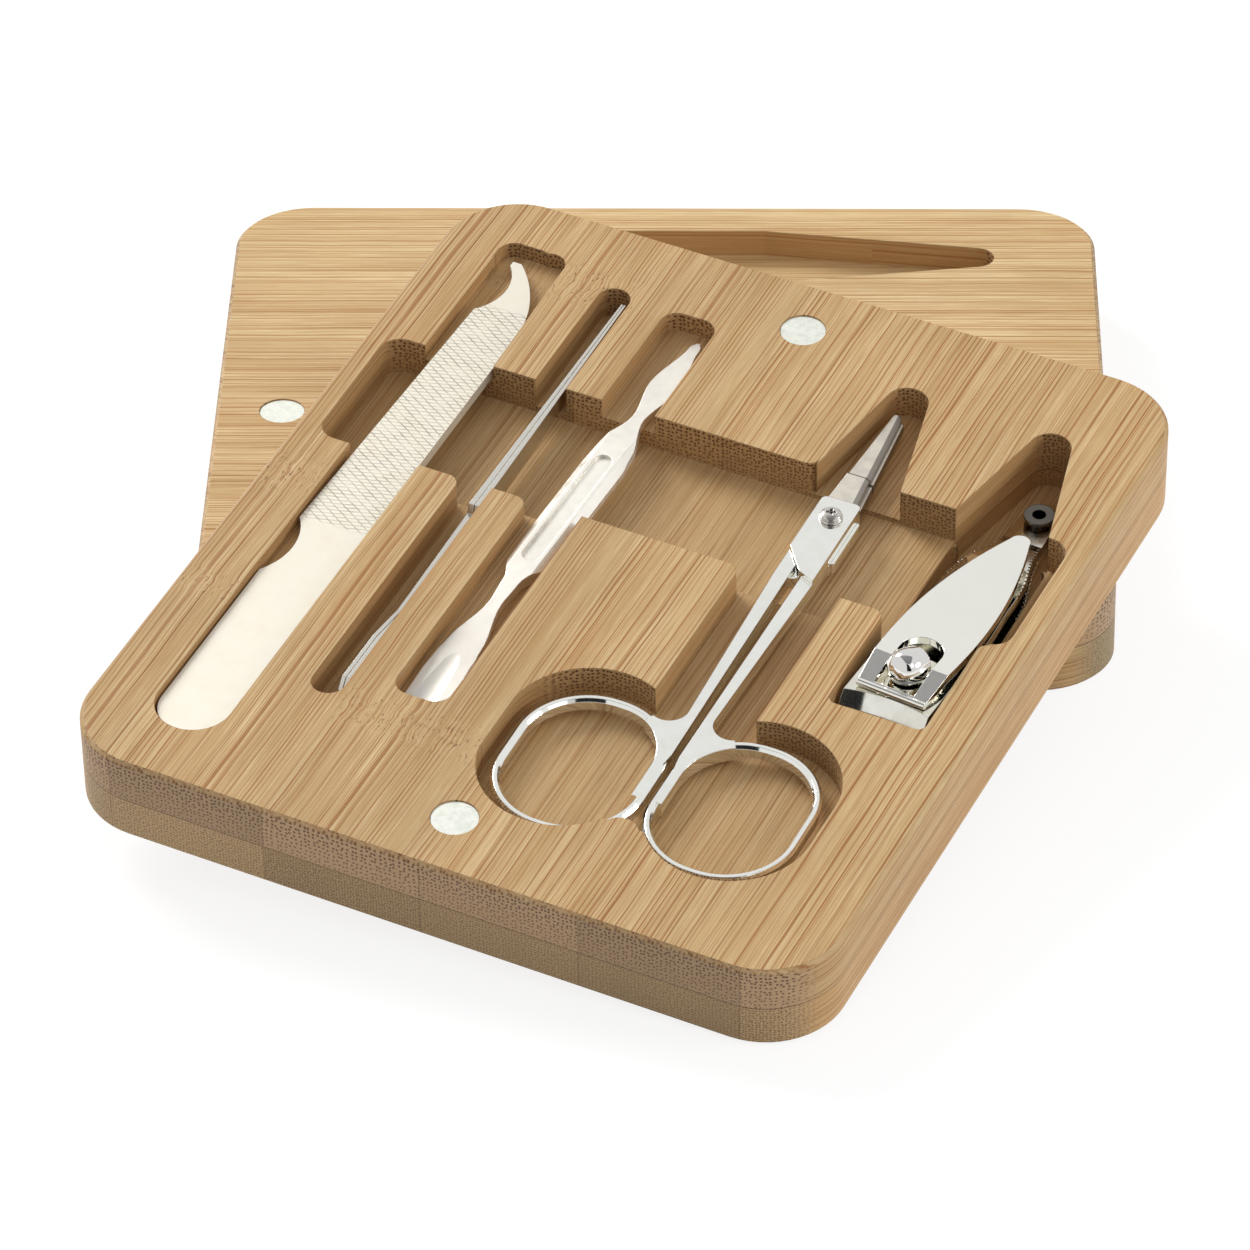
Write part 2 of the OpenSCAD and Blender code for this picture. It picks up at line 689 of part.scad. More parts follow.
// Nail clipper. Local origin on the post's axis at the pocket's floor
bend_y = tail_l - 8;
knee_y = bend_y - 7;
knee_rise = 2;
leaf_slope = 5.3;
upper_z = leaf_t + slide_gap;
// Height of the upper leaf's underside before its knee
function leaf_under(y) = upper_z + knee_rise + (knee_y - y) * tan(leaf_slope);
edge_z = (leaf_under(-jaw_l) + leaf_t) / 2 + 0.3;

// Outline of both leaves, seen from above
grip_first = tail_l * 0.52;
grip_last = tail_l * 0.8;
grip_side = jaw_w / 2 * 0.87;
tail_side = jaw_w / 2 * 0.46;
module leaf_plan(h) {
    tail_r = 2.3;
    side = jaw_w / 2;
    linear_extrude(h) {
        polygon(both_sides(eased([[-jaw_l, side * 0.96], [-jaw_l + 2, side], [tail_l * 0.2, side],
            [grip_first, grip_side], [grip_last, tail_side], [tail_l - tail_r, tail_r]], 4)));
        translate([0, tail_l - tail_r]) circle(tail_r);
    }
}

// Set-back of the middle of a cutting edge, as a cone before the jaws
bite_r = 16;
module jaw_bite(edge, rise) {
    centre_y = -jaw_l - sqrt(bite_r * bite_r - jaw_w * jaw_w / 4);
    height = 6;
    translate([0, centre_y, edge]) mirror([0, 0, rise > 0 ? 0 : 1])
        cylinder(r1 = bite_r, r2 = bite_r + height, h = height);
    translate([0, centre_y, edge]) mirror([0, 0, rise > 0 ? 1 : 0]) cylinder(r = bite_r, h = height);
}

// Grip ridges along both edges of a leaf
module leaf_grip(h) {
    pitch = 0.8;
    for (i = [0 : floor((grip_last - grip_first) / pitch)], s = [-1, 1]) {
        t = i * pitch / (grip_last - grip_first);
        translate([s * (grip_side + (tail_side - grip_side) * ease(t)), grip_first + i * pitch, h / 2])
            cube([0.5, 0.3, h + 2 * over], center = true);
    }
}

clipper_shift = 0.15;
module at_clipper(swing = 0)
    at_tool(clipper_x + clipper_shift, post_y, clipper_floor, clipper_turn + swing) children();

module clipper_lower_leaf() color(plated)
    at_clipper() difference() {
        intersection() {
            leaf_plan(10);
            side_view([[tail_l + over, 0], [1.2 - jaw_l, 0], [-jaw_l, 0.9], [-jaw_l, edge_z - jaw_gap / 2],
                [2.6 - jaw_l, edge_z - jaw_gap / 2 - 0.9], [4.2 - jaw_l, leaf_t], [tail_l + over, leaf_t]],
                2 * jaw_w);
        }
        jaw_bite(edge_z - jaw_gap / 2, -1);
        leaf_grip(leaf_t);
        translate([0, 0, -over]) cylinder(d = post_d, h = 10);
        translate([0, 0, -over]) cylinder(d = post_d + 1.4, h = over + 0.6);
        translate([0, tail_l - 3, -over]) cylinder(d = eyelet_d - 1.2, h = 10);
    }

module clipper_upper_leaf() color(plated)
    at_clipper() difference() {
        // Top of the jaw where it bends down to the cutting edge
        jaw_top = leaf_under(2.5 - jaw_l) + leaf_t;
        intersection() {
            leaf_plan(12);
            side_view([[tail_l + over, upper_z], [bend_y, upper_z], [knee_y, leaf_under(knee_y)],
                [4.2 - jaw_l, leaf_under(4.2 - jaw_l)], [2.6 - jaw_l, edge_z + jaw_gap / 2 + 0.9],
                [-jaw_l, edge_z + jaw_gap / 2], [0.2 - jaw_l, jaw_top - 1.9], [0.7 - jaw_l, jaw_top - 1],
                [1.5 - jaw_l, jaw_top - 0.3], [2.5 - jaw_l, jaw_top - 0.04],
                [3.4 - jaw_l, leaf_under(3.4 - jaw_l) + leaf_t],
                [knee_y, leaf_under(knee_y) + leaf_t], [bend_y, upper_z + leaf_t],
                [tail_l + over, upper_z + leaf_t]], 2 * jaw_w);
        }
        jaw_bite(edge_z + jaw_gap / 2, 1);
        translate([0, 0, upper_z]) leaf_grip(10);
        translate([0, 0, leaf_t]) cylinder(d = post_d + 0.8, h = 10);
        translate([0, tail_l - 3, leaf_t]) cylinder(d = eyelet_d - 1.2 + 0.4, h = 10);
    }

// Post: foot in the lower leaf, shaft through both leaves, and a head that
// leans towards the jaws and tapers to a flat end
head_off = 0.4;
module clipper_post() color(plated)
    at_clipper() {
        head_r = post_head_d / 2;
        head_lean = 43;
        head_h = 3.2;
        head_low = leaf_under(-head_r) + leaf_t + 0.35;
        difference() {
            union() {
                cylinder(d = post_d, h = 9.6);
                cylinder(d = post_d + 1.4, h = 0.6);
                difference() {
                    translate([head_off, 0.6, 8.6]) rotate([head_lean, 0, -18])
                        rotate_extrude() polygon([[0, 0], [head_r, 0], [head_r, head_h * 0.2],
                            [head_r * 0.9, head_h * 0.5], [head_r * 0.7, head_h * 0.85],
                            [head_r * 0.5, head_h], [0, head_h]]);
                    translate([-3 * head_r, -3 * head_r, head_low - 10]) cube([6 * head_r, 6 * head_r, 10]);
                }
            }
            translate([0, 0, -over]) cylinder(d = post_d + 2, h = over);
        }
    }

// Lever: leaf-shaped plate that slopes to its tip, with two legs that run down
// past the post to a round bar at the foot
foot_y = -5.3;
foot_z = leaf_under(foot_y) + leaf_t + seat_gap;
lever_off = 0.3;
// Half width of the lever's plate: widest at one place, with a radius for each side of it
lever_mid_y = 6.5;
lever_far_r = 66;
lever_near_r = 107;
function lever_side(y) =
    lever_w / 2 - pow(y - lever_mid_y, 2) / 2 / (y > lever_mid_y ? lever_far_r : lever_near_r);
module clipper_lever() color(plated)
    at_clipper(lever_swing) translate([lever_off, 0, 0]) {
        tip = lever_l + foot_y;
        bar_d = 0.9;
        bar_y = foot_y + bar_d / 2;
        tip_r = 1.35;
        bar_side = lever_side(bar_y);
        fold_y = 0.4;
        fold_z = foot_z + 1.7;
        plate_fall = tan(5.2);
        end_y = tip + over;
        end_z = fold_z - (end_y - fold_y) * plate_fall;
        slot_r = post_head_d / 2 + 0.25;
        slot_x = head_off - 0.05 - lever_off;
        slot_far = 2.9;
        stations = 24;
        plan = concat(
            [for (i = [0 : stations]) let (y = bar_y + (tip - tip_r - bar_y) * i / stations)
                [y, lever_side(y)]],
            [for (a = [18, 36, 54, 72, 84]) [tip - tip_r + tip_r * sin(a), tip_r * cos(a)]]);
        difference() {
            union() {
                intersection() {
                    linear_extrude(14) polygon(both_sides(plan));
                    side_view([[bar_y, foot_z + 0.1], [fold_y + 0.2, fold_z - lever_t],
                        [end_y, end_z - lever_t], [end_y, end_z], [fold_y, fold_z], [bar_y, foot_z + bar_d - 0.1]], 2 * lever_w);
                }
                translate([-bar_side, bar_y, foot_z + bar_d / 2]) rotate([0, 90, 0])
                    cylinder(d = bar_d, h = 2 * bar_side);
            }
            translate([slot_x, slot_far, 0]) cylinder(r = slot_r, h = 14);
            translate([slot_x - slot_r, foot_y + bar_d + 0.1, 0])
                cube([2 * slot_r, slot_far - foot_y - bar_d - 0.1, 14]);
        }
    }

// Eyelet through both leaves at the tail
module clipper_eyelet() color(dark_steel)
    at_clipper() translate([0, tail_l - 3, 0]) {
        tube_r = eyelet_d / 2 - 0.6;
        flange_z = upper_z + leaf_t + 0.35;
        rotate_extrude() difference() {
            union() {
                translate([tube_r - 0.5, 0.1]) square([0.5, flange_z - 0.1]);
                translate([tube_r - 0.5, flange_z]) square([1.1, 0.4]);
            }
        }
    }

lid_upper_ply();
lid_lower_ply();
lid_magnet_left();
lid_magnet_right();
base_upper_ply();
base_lower_ply();
base_magnet_near();
base_magnet_far();
nail_file();
tweezer_arm_left();
tweezer_arm_right();
cuticle_pusher();
scissors_lower_half();
scissors_upper_half();
scissors_screw();
clipper_lower_leaf();
clipper_upper_leaf();
clipper_post();
clipper_lever();
clipper_eyelet();
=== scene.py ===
"""Looks of a manicure set in a bamboo case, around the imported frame.

Lengths are in millimetres, but those of the camera, lamps, floor and cards, and all
roundings and reliefs, are in metres.
"""
import json
import math
from collections import namedtuple

import bmesh
import bpy
from mathutils import Matrix, Vector


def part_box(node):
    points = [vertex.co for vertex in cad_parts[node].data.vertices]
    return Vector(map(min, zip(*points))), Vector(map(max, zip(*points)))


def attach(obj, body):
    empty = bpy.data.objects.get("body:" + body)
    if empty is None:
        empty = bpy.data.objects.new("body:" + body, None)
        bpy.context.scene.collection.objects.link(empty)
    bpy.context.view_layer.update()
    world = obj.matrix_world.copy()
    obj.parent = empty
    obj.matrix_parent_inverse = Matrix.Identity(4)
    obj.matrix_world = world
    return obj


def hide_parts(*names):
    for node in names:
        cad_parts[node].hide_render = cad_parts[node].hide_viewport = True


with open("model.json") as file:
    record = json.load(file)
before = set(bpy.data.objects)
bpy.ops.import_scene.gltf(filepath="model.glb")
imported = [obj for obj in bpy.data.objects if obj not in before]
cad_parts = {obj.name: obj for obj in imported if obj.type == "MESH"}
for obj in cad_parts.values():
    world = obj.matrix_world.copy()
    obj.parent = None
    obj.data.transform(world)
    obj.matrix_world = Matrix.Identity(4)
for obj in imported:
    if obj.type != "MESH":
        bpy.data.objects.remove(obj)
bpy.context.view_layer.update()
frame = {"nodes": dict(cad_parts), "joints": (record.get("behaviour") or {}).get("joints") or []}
NODES = frame["nodes"]
MM = 0.001
MM_PER_METRE = 1000.0


def link(name, data):
    """A new object in the scene."""
    obj = bpy.data.objects.new(name, data)
    bpy.context.scene.collection.objects.link(obj)
    return obj


# Camera, solved from the photograph: place in metres, angles in radians
CAMERA_PLACE = Vector((0.01566, -0.8431, 0.5312))
CAMERA_PITCH = 0.58212
CAMERA_YAW = -0.02464
CAMERA_ROLL = -0.01044
CAMERA_FOCAL_PX = 7326.4
CAMERA_REACH = 20
IMAGE_PX = 1250
SENSOR_MM = 36.0


def make_camera():
    ahead = Vector((math.sin(CAMERA_YAW) * math.cos(CAMERA_PITCH),
                    math.cos(CAMERA_YAW) * math.cos(CAMERA_PITCH),
                    -math.sin(CAMERA_PITCH)))
    level = Vector((math.cos(CAMERA_YAW), -math.sin(CAMERA_YAW), 0))
    top = level.cross(ahead)
    right = level * math.cos(CAMERA_ROLL) + top * math.sin(CAMERA_ROLL)
    up = top * math.cos(CAMERA_ROLL) - level * math.sin(CAMERA_ROLL)
    data = bpy.data.cameras.new("camera")
    data.sensor_width = SENSOR_MM
    data.sensor_fit = "HORIZONTAL"
    data.lens = CAMERA_FOCAL_PX / IMAGE_PX * SENSOR_MM
    data.clip_end = CAMERA_REACH
    camera = link("camera", data)
    turn = Matrix((right, up, -ahead)).transposed().to_4x4()
    camera.matrix_world = Matrix.Translation(CAMERA_PLACE) @ turn
    bpy.context.scene.camera = camera


# Frames of the boards. The tray's is worked out from its magnets and from the way that
# a tool lifts out of it.
Board = namedtuple("Board", "along across up origin")


def middle(node):
    low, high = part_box(node)
    return (low + high) / 2


def joint(name):
    return next(j for j in frame["joints"] if j["name"] == name)


TRAY_UP = Vector(joint("file_lift")["axis"]).normalized()
TRAY_ALONG = (middle("base_magnet_far") - middle("base_magnet_near")).normalized()
TRAY_ACROSS = TRAY_ALONG.cross(TRAY_UP).normalized()
TRAY_MIDDLE = (middle("base_magnet_far") + middle("base_magnet_near")) / 2
TRAY = Board(TRAY_ALONG, TRAY_ACROSS, TRAY_UP, TRAY_MIDDLE)
LID = Board(Vector((1, 0, 0)), Vector((0, 1, 0)), Vector((0, 0, 1)),
            Vector((0, 0, middle("lid_magnet_left").z)))


# Helpers for materials
class Value:
    """One number from a node, which adds, multiplies and so on as numbers do."""

    def __init__(self, nodes, socket):
        self.nodes = nodes
        self.socket = socket

    def __add__(self, other):
        return self.nodes.math("ADD", self, other)

    def __sub__(self, other):
        return self.nodes.math("SUBTRACT", self, other)

    def __rsub__(self, other):
        return self.nodes.math("SUBTRACT", other, self)

    def __mul__(self, other):
        return self.nodes.math("MULTIPLY", self, other)

    def __truediv__(self, other):
        return self.nodes.math("DIVIDE", self, other)

    def __pow__(self, other):
        return self.nodes.math("POWER", self, other)

    def __abs__(self):
        return self.nodes.math("ABSOLUTE", self)


class Nodes:
    """Short calls for building a material's node tree."""

    def __init__(self, name):
        self.material = bpy.data.materials.new(name)
        self.material.use_nodes = True
        self.tree = self.material.node_tree
        self.tree.nodes.clear()
        self.out = self.tree.nodes.new("ShaderNodeOutputMaterial")
        self.bsdf = self.tree.nodes.new("ShaderNodeBsdfPrincipled")
        self.tree.links.new(self.bsdf.outputs[0], self.out.inputs[0])
        coords = self.tree.nodes.new("ShaderNodeTexCoord")
        self.place = coords.outputs["Object"]
        self.normal = coords.outputs["Normal"]

    def add(self, kind, inputs, **props):
        node = self.tree.nodes.new(kind)
        for key, value in props.items():
            setattr(node, key, value)
        for key, value in inputs.items():
            self.put(node.inputs[key], value)
        return node

    def put(self, socket, value):
        if isinstance(value, Value):
            value = value.socket
        if isinstance(value, bpy.types.NodeSocket):
            self.tree.links.new(value, socket)
        else:
            socket.default_value = value

    def shade(self, inputs):
        """Sets the shader's own inputs, and gives the finished material."""
        for key, value in inputs.items():
            self.put(self.bsdf.inputs[key], value)
        return self.material

    def math(self, operation, a, b=0.0):
        node = self.add("ShaderNodeMath", {0: a, 1: b}, operation=operation)
        return Value(self, node.outputs[0])

    def most(self, a, b):
        return self.math("MAXIMUM", a, b)

    def least(self, a, b):
        return self.math("MINIMUM", a, b)

    def dot(self, vector, axis):
        node = self.add("ShaderNodeVectorMath", {0: vector, 1: tuple(axis)},
                        operation="DOT_PRODUCT")
        return Value(self, node.outputs["Value"])

    def mm_along(self, origin, *axes):
        """How far a point is from origin along each axis, in millimetres."""
        away = self.add("ShaderNodeVectorMath", {0: self.place, 1: tuple(origin)},
                        operation="SUBTRACT").outputs[0]
        return [self.dot(away, axis) * MM_PER_METRE for axis in axes]

    def facing(self, axis, low, high, smooth=False):
        """1 where the surface faces along the axis, either way, and 0 where across it."""
        return self.span(abs(self.dot(self.normal, axis)), low, high, smooth=smooth)

    def join(self, x, y, z):
        return self.add("ShaderNodeCombineXYZ", {0: x, 1: y, 2: z}).outputs[0]

    def grey(self, value):
        return self.join(value, value, value)

    def noise(self, vector, scale=1.0, detail=2.0, rough=0.5):
        node = self.add("ShaderNodeTexNoise", {"Vector": vector, "Scale": scale,
                                               "Detail": detail, "Roughness": rough})
        return Value(self, node.outputs[0])

    def span(self, value, low, high, to_low=0.0, to_high=1.0, smooth=False):
        """Maps low to high onto to_low to to_high, and goes no further."""
        node = self.add("ShaderNodeMapRange",
                        {"Value": value, "From Min": low, "From Max": high,
                         "To Min": to_low, "To Max": to_high})
        node.interpolation_type = "SMOOTHSTEP" if smooth else "LINEAR"
        return Value(self, node.outputs[0])

    def between(self, share, a, b):
        """A number that is a where the share is 0, and b where it is 1."""
        node = self.add("ShaderNodeMix", {"Factor": share, 2: a, 3: b}, data_type="FLOAT")
        return Value(self, node.outputs[0])

    def mix(self, share, a, b, blend="MIX"):
        """A colour that is a where the share is 0, and b where it is 1."""
        node = self.add("ShaderNodeMix", {"Factor": share, 6: a, 7: b},
                        data_type="RGBA", blend_type=blend)
        return node.outputs[2]

    def coats(self, colour, *coats):
        """A colour under coats, each a share and a colour, one over the other."""
        for share, coat in coats:
            colour = self.mix(share, colour, coat)
        return colour

    def rounded(self, radius, samples=6):
        """The normal as if the edges were rounded, by a radius in metres."""
        return self.add("ShaderNodeBevel", {"Radius": radius}, samples=samples).outputs[0]

    def bump(self, height, distance, strength, normal=None):
        inputs = {"Height": height, "Distance": distance, "Strength": strength}
        if normal is not None:
            inputs["Normal"] = normal
        return self.add("ShaderNodeBump", inputs).outputs[0]


def rgb(red, green, blue):
    """A colour as seen on screen, 0 to 255, as linear values."""
    def linear(c):
        c /= 255
        return c / 12.92 if c <= 0.04045 else ((c + 0.055) / 1.055) ** 2.4
    return (linear(red), linear(green), linear(blue), 1.0)


# Sizes of the boards, about their middles
BOARD_HALF_LONG = 60.0
BOARD_HALF_WIDE = 52.0
CORNER = 14.0
PLY = 6.25
MAGNET_MIDDLE_DEEP = 1.15

# Strips that a board is glued up from: their width, how far the middle joint is off the
# board's middle, and the number of the strip furthest to the left
STRIP_W = 21.7
STRIP_OFF = 0.5
STRIP_FIRST = -3

# Knuckles of the bamboo: where across and along each board its fibres break up, as
# (across from, across to, middle along, half length)
TRAY_KNUCKLES = ((-52.0, -44.2, -3.0, 4.5), (-52.0, -44.2, -26.0, 3.0),
                 (-44.2, -22.4, 47.0, 5.0), (-22.4, -0.5, -38.5, 4.5))
LID_KNUCKLES = ((-52.0, -44.0, 30.0, 4.0), (22.0, 43.0, -20.0, 3.0))

# Lines of the fibres: how many to a millimetre, half a line's width, the random values
# between which a line's strength rises, the noise above which it shows, how many steps
# of that noise there are to a millimetre along it, how much it covers, and its colour
Lines = namedtuple("Lines", "per_mm half_mm low high shows steps share colour")
THIN = Lines(2.9, 0.08, 0.05, 0.75, 0.37, 0.06, 0.74, rgb(182, 126, 70))
MAIN = Lines(1.5, 0.12, 0.05, 0.75, 0.37, 0.04, 0.92, rgb(170, 110, 56))
BOLD = Lines(0.72, 0.17, 0.20, 0.80, 0.40, 0.03, 0.85, rgb(160, 104, 50))

# Colours of the wood between the lines, with a painted sheen among its fibres, and of its
# knuckles
WOOD = (rgb(232, 200, 150), rgb(208, 170, 118))
WOOD_DARK = rgb(186, 142, 90)
WOOD_SHEEN = rgb(240, 214, 168)
KNUCKLE = rgb(222, 178, 126)
KNUCKLE_DARK = rgb(122, 80, 50)
KNUCKLE_LIGHT = rgb(238, 208, 160)

# Colours of the pockets' floors, browner partly from milling and partly as painted shade; of the
# tool marks there; and of the upright sides, a painted shade
POCKET_MILLING_AND_SHADE = rgb(190, 150, 102)
POCKET_LIGHT = rgb(226, 192, 146)
POCKET_DARK = rgb(138, 98, 58)
SIDE_SHADE = rgb(172, 126, 78)

# Colours of the cut ends: outside on the upper and the under ply, and inside the
# pockets; their dots inside and outside; the joint of two strips and that of the plies
END_UPPER = (rgb(202, 166, 128), rgb(180, 146, 110))
END_UNDER = (rgb(190, 161, 120), rgb(168, 139, 100))
END_INSIDE = (rgb(204, 164, 114), rgb(176, 134, 90))
DOT_COLOURS = (rgb(92, 58, 32), rgb(96, 62, 42))
STRIP_GLUE = rgb(112, 84, 56)
PLY_GLUE = rgb(104, 76, 46)

# Dots of the cut fibres to a millimetre, from one strip to another, and their soft edge
DOTS_UPPER = (1.5, 1.8)
DOTS_UNDER = (2.0, 2.6)
DOT_EDGE = 0.06

# How dark and light one strip, one strip's end and one patch of a board may be
STRIP_TONES = (0.95, 1.03)
END_TONES = (0.80, 1.12)
PATCH_TONES = (0.95, 1.04)

# How far apart the strips are in the pattern of the grain, and the upright sides
STRIP_SHIFT = 37.0
SIDE_SHIFT = 71.0

BOARD_ROUNDING = 0.00028
GRAIN_RELIEF = 0.00005


def local_mm(n, board):
    """Place across, along and above a board's face, in millimetres."""
    u, v, w = n.mm_along(board.origin, board.across, board.along, board.up)
    return u, v, w - MAGNET_MIDDLE_DEEP


def outer_sides(n, u, v):
    """1 on the board's outer sides, 0 inside its pockets."""
    beyond_u = n.most(abs(u) - (BOARD_HALF_WIDE - CORNER), 0.0)
    beyond_v = n.most(abs(v) - (BOARD_HALF_LONG - CORNER), 0.0)
    reach = n.math("SQRT", beyond_u * beyond_u + beyond_v * beyond_v)
    return n.span(reach, CORNER - 0.6, CORNER - 0.2)


def broken_fibres(n, u, v, knuckles):
    """1 in the middle of a knuckle, 0 away from all of them."""
    broken = 0.0
    edge = 0.2
    for low, high, place, half in knuckles:
        inside = n.span(u, low - edge, low + edge) * n.span(u, high + edge, high - edge)
        near = n.span(abs(v - place), half, half * 0.45, smooth=True)
        broken = n.most(broken, inside * near)
    return broken


def fibre_lines(n, grain, v, seed, kind):
    """Lines along the grain, each as long as its noise lets it run."""
    cell = n.add("ShaderNodeTexVoronoi",
                 {"W": grain * kind.per_mm, "Scale": 1.0, "Randomness": 1.0},
                 voronoi_dimensions="1D").outputs
    lone = n.add("ShaderNodeSeparateColor", {0: cell["Color"]}).outputs
    strength = n.span(lone[0], kind.low, kind.high)
    own_noise = Value(n, lone[1]) * 60.0
    length = n.noise(n.join(own_noise, v * kind.steps, seed + 0.5), detail=1.0)
    half = kind.half_mm * kind.per_mm
    profile = n.span(cell["Distance"], half * 0.5, half, 1.0, 0.0)
    return profile * strength * n.span(length, kind.shows - 0.15, kind.shows + 0.1)


def cut_dots(n, u, w, chance, rise, under):
    """1 in the dots of fibres cut across, which are largest at a ply's upper skin."""
    spread = n.span(chance, 0.0, 1.0, *(DOTS_UNDER if under else DOTS_UPPER))
    cell = n.add("ShaderNodeTexVoronoi", {"Vector": n.join(u * spread, w * spread, 0.0),
                                          "Scale": 1.0, "Randomness": 0.5},
                 voronoi_dimensions="2D").outputs
    if under:
        size = n.span(chance, 0.0, 1.0, 0.17, 0.27)
    else:
        size = n.span(rise ** 1.4, 0.0, 1.0, 0.20, 0.31)
    return n.span(Value(n, cell["Distance"]) - size, -DOT_EDGE, DOT_EDGE, 1.0, 0.0)


def given_tones(n, strip, tones):
    """The tone given for each strip, from the left."""
    low = STRIP_FIRST - 0.5
    ramp = n.add("ShaderNodeValToRGB", {0: n.span(strip, low, low + len(tones))})
    ramp.color_ramp.interpolation = "CONSTANT"
    points = ramp.color_ramp.elements
    for i, tone in enumerate(tones):
        point = points[i] if i < 2 else points.new(i / len(tones))
        point.position = i / len(tones)
        point.color = (tone, tone, tone, 1)
    return ramp.outputs[0]


def wood_face(n, v, flat_u, grain, seed, broken):
    """The wood as seen along its fibres: its colour, its relief and its finest noise."""
    thin, main, bold = (fibre_lines(n, grain, v, seed, kind) for kind in (THIN, MAIN, BOLD))
    fine = n.noise(n.join(grain * 4.5, v * 0.16, seed * 3.0), detail=3.0, rough=0.65)
    broad = n.noise(n.join(grain * 0.33, v * 0.02, seed * 2.0), detail=3.0, rough=0.6)
    colour = n.coats(n.mix(n.span(broad, 0.34, 0.66), *WOOD),
                     (n.span(fine, 0.4, 0.72) * 0.50, WOOD_DARK),
                     # Pale streaks between the fibres: a painted sheen
                     (n.span(fine, 0.44, 0.28) * 0.30, WOOD_SHEEN),
                     (thin * THIN.share, THIN.colour),
                     (main * MAIN.share, MAIN.colour),
                     (bold * BOLD.share, BOLD.colour))
    # Short dark flecks and pale spots at the knuckles
    fleck = n.noise(n.join(flat_u * 2.9, v * 0.85, seed * 4.0), detail=3.0, rough=0.55)
    dark_fleck = n.span(fleck, 0.60, 0.66, smooth=True) * broken
    pale_fleck = n.span(fleck, 0.42, 0.33, smooth=True) * broken
    colour = n.coats(colour, (broken * 0.12, KNUCKLE), (dark_fleck * 0.8, KNUCKLE_DARK),
                     (pale_fleck * 0.4, KNUCKLE_LIGHT))
    return colour, fine * 0.5 - (main * 0.5 + bold * 0.5), fine


def pocket_floor(n, u, v, seed, face):
    """The wood of a pocket's floor: browner, partly from milling and partly as painted shade in
    the pocket, with straight tool marks.
    """
    scratch = n.noise(n.join(u * 4.2, v * 0.05, seed * 6.0), detail=1.0, rough=0.4)
    return n.coats(face, (0.45, POCKET_MILLING_AND_SHADE), (n.span(scratch, 0.60, 0.66) * 0.4, POCKET_LIGHT),
                   (n.span(scratch, 0.37, 0.33) * 0.35, POCKET_DARK))


def strip_ends(n, u, v, w, outer, chance, tone, under):
    """The strips' cut ends, with a dark joint between each two: their colour and dots."""
    ply_top = -PLY * under
    rise = n.span(w, ply_top - PLY, ply_top)
    dot = cut_dots(n, u, w, chance, rise, under)
    dot_share = 0.8 if under else n.span(rise, 0.0, 1.0, 0.75, 0.95)
    grit = n.span(n.noise(n.join(u, v * 0.3, w), 3.0, 3.0), 0.3, 0.7)
    inside = n.mix(grit, *END_INSIDE)
    outside = n.mix(grit, *(END_UNDER if under else END_UPPER))
    seam = abs(n.math("FRACT", (u + STRIP_OFF) / STRIP_W) - 0.5)
    colour = n.coats(n.mix(outer, inside, outside),
                     (dot * dot_share, n.mix(outer, *DOT_COLOURS)),
                     (n.span(seam, 0.495, 0.4985) * 0.5, STRIP_GLUE))
    shade = n.grey(n.span(tone, 0.0, 1.0, *END_TONES))
    return n.mix(1.0, colour, shade, "MULTIPLY"), dot


def bamboo(name, board, seed, under, knuckles, tone, end_tones, tint):
    """Bamboo of glued strips: lines along the grain, dots where it is cut across.

    under is 1 for the ply away from the board's face. tone and tint change the whole
    ply's colour, and end_tones, where given, those of its strips' ends.
    """
    n = Nodes(name)
    u, v, w = local_mm(n, board)
    end = n.facing(board.along, 0.35, 0.8, smooth=True)
    top = n.facing(board.up, 0.6, 0.9, smooth=True)
    outer = outer_sides(n, u, v)
    # How deep a floor lies in a pocket: there it is browned, partly as painted shade
    deep = n.span(w, -0.3, -1.2) * (1.0 - outer)

    # Strips side by side, each with its own tone and its own grain
    strip = n.math("FLOOR", (u + STRIP_OFF) / STRIP_W)
    chance = n.add("ShaderNodeTexWhiteNoise",
                   {"Vector": n.join(strip, seed * 1.7, under * 3.1)}).outputs["Value"]
    strip_tone = given_tones(n, strip, end_tones) if end_tones else chance

    # Place across the grain: sideways on flat faces, upwards on upright ones
    broken = broken_fibres(n, u, v, knuckles)
    wave = n.noise(n.join(u * 0.05, v * 0.03, seed * 5.0))
    kink = n.noise(n.join(u * 0.35, v * 0.22, seed * 9.0))
    flat_u = u + ((wave - 0.5) * 1.1 + (kink - 0.5) * broken * 1.4)
    side_w = w * 1.15 + (wave - 0.5) * 0.8
    grain = n.between(top, side_w + SIDE_SHIFT, flat_u) + Value(n, chance) * STRIP_SHIFT

    face, relief, fine = wood_face(n, v, flat_u, grain, seed, broken)
    flat_face = n.mix(deep, face, pocket_floor(n, u, v, seed, face))
    # Upright sides darkened as painted shade, most inside the pockets
    side_face = n.mix(n.span(outer, 0.0, 1.0, 0.55, 0.25), face, SIDE_SHADE)
    end_face, dot = strip_ends(n, u, v, w, outer, chance, strip_tone, under)

    # All faces together, with the glue line between the two plies
    glue = n.span(abs(w + PLY), 0.03, 0.12, 1.0, 0.0) * (1.0 - top) * 0.55
    colour = n.coats(side_face, (end, end_face), (top, flat_face), (glue, PLY_GLUE))
    cloud = n.noise(n.join(u * 0.08, v * 0.05, seed * 7.0))
    shade = (n.span(chance, 0.0, 1.0, *(one * tone for one in STRIP_TONES))
             * n.span(cloud, 0.3, 0.7, *PATCH_TONES))
    colour = n.mix(1.0, colour, n.join(*(shade * part for part in tint)), "MULTIPLY")
    height = relief - dot * end * 0.8
    return n.shade({"Base Color": colour, "Roughness": n.span(fine, 0.3, 0.7, 0.42, 0.58),
                    "Specular IOR Level": 0.3,
                    "Normal": n.bump(height, GRAIN_RELIEF, 0.55,
                                     n.rounded(BOARD_ROUNDING, samples=4))})


METAL_ROUNDING = 0.00014
LEAF_ROUNDING = 0.00012
SATIN_RELIEF = 0.00001


